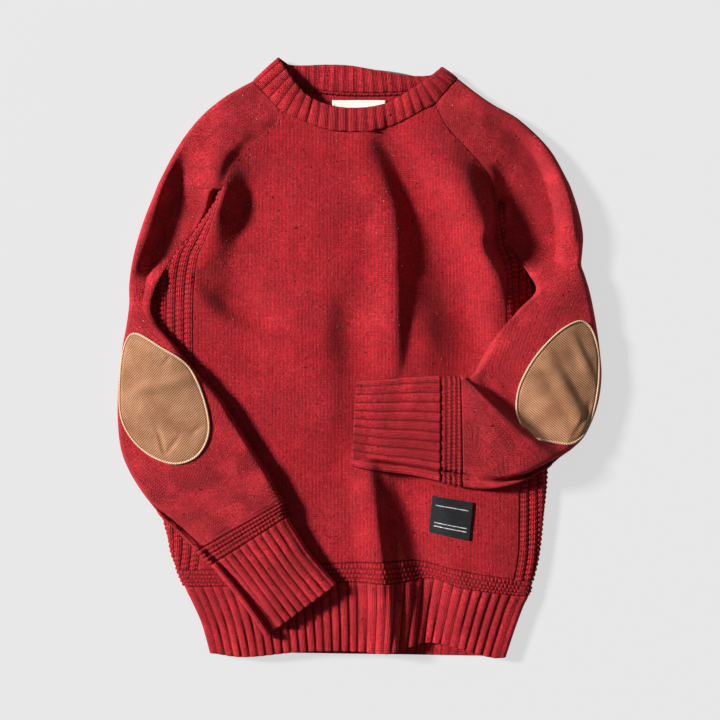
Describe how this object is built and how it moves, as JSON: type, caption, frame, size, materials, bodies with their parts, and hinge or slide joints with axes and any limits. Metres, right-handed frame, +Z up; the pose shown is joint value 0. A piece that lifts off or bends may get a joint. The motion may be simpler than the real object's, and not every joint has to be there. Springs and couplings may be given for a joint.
{
  "type": "darned sweater",
  "caption": "Worn knitted wool jumper lying flat with both sleeves folded in over the front, raglan shoulders, ribbed hem, cuffs and crew collar, corduroy elbow patches",
  "frame": {"origin": "centre of the bounding box in plan, on the surface that the jumper lies on", "axes": "+Z up from the surface, +Y from the hem to the neck, +X to the right as seen from above"},
  "size_m": [0.55, 0.6817, 0.0488],
  "materials": {
    "wool": "plain knitted red wool with flecks and pilling",
    "wool_rib": "red wool rib knit, soft and slightly stretched",
    "corduroy": "brown fine-wale cotton corduroy, creased and rubbed",
    "piping": "thin tan corded edge",
    "black_tape": "black woven label, bare",
    "cream_tape": "cream woven label, bare"
  },
  "bodies": {
    "root": {"front_panel": "wool", "back_panel": "wool", "side_panel_left": "wool", "side_panel_right": "wool", "hem_band": "wool", "hem_rib": "wool_rib", "sleeve_left": "wool", "sleeve_band_left": "wool", "cuff_left": "wool_rib", "sleeve_right": "wool", "sleeve_band_right": "wool", "cuff_right": "wool_rib", "collar": "wool_rib", "patch_left": "corduroy", "patch_right": "corduroy", "patch_piping_left": "piping", "patch_piping_right": "piping", "hem_label": "black_tape", "neck_label": "cream_tape"}
  },
  "joints": []
}
